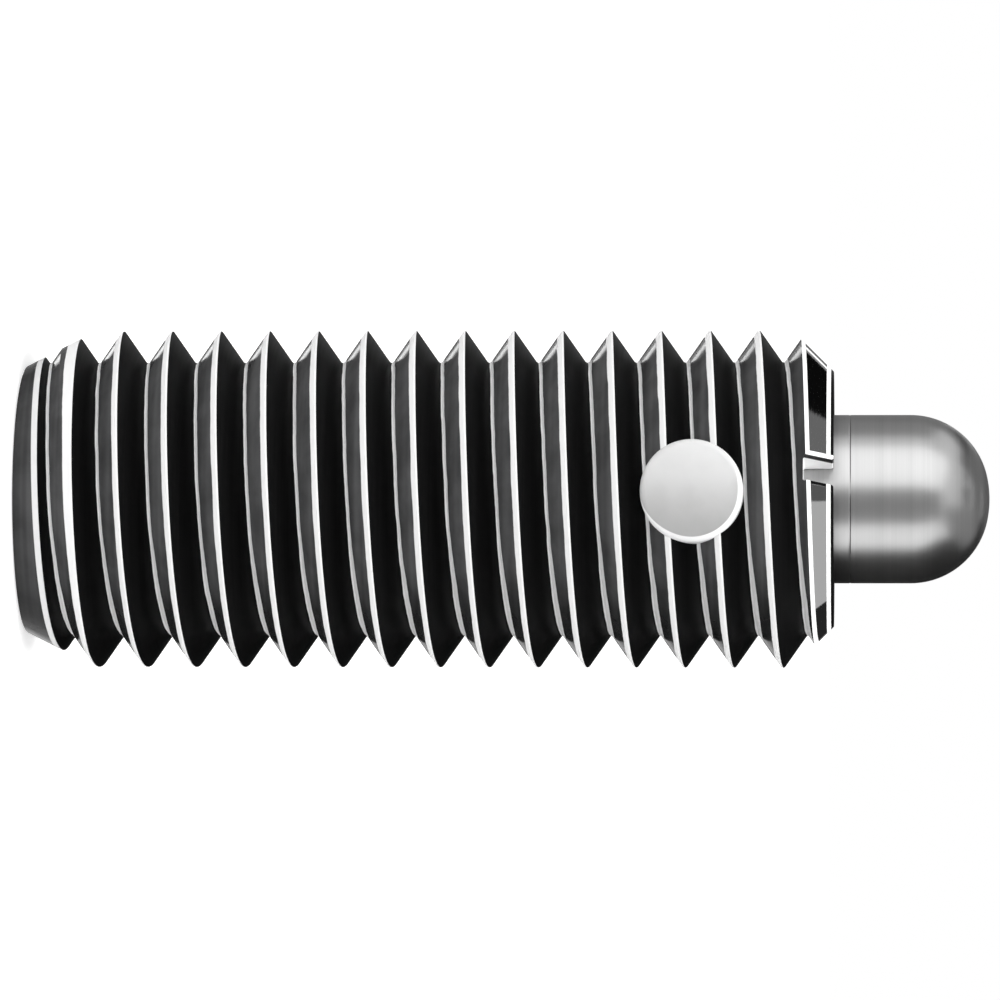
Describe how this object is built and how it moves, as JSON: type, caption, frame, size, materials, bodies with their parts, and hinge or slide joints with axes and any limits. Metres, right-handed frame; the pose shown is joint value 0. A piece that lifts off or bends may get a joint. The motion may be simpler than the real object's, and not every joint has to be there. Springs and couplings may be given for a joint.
{
  "type": "spring plunger",
  "caption": "Threaded spring plunger: a sleeve threaded along its full length holds a sprung round-nosed pin, with a wrench slot, a hexagon drive socket and a plastic locking pellet.",
  "frame": {"origin": "centre of the driven end's face, opposite the nose: the part stands on that face", "axes": "+Z along the part's axis to the round nose; the locking pellet faces -Y"},
  "size_m": [0.0158, 0.016, 0.0454],
  "materials": {
    "black_oxide_steel": "black oxide on turned steel, worn bright on the thread's crests",
    "bright_steel": "hardened, ground round and left bright",
    "spring_steel": "drawn music wire, lightly oiled",
    "plug_steel": "black oxide",
    "white_nylon": "natural nylon, satin"
  },
  "bodies": {
    "sleeve": {"body": "black_oxide_steel", "end_plug": "plug_steel", "locking_pellet": "white_nylon", "spring": "spring_steel"},
    "pin": {"plunger": "bright_steel"}
  },
  "joints": [
    {"name": "plunger_slide", "type": "slide", "parent": "sleeve", "child": "pin", "axis": [0, 0, -1], "range_m": [0, 0.0071], "stiffness_N_per_m": 9570, "springref_m": -0.004, "deforming": ["spring"]}
  ]
}
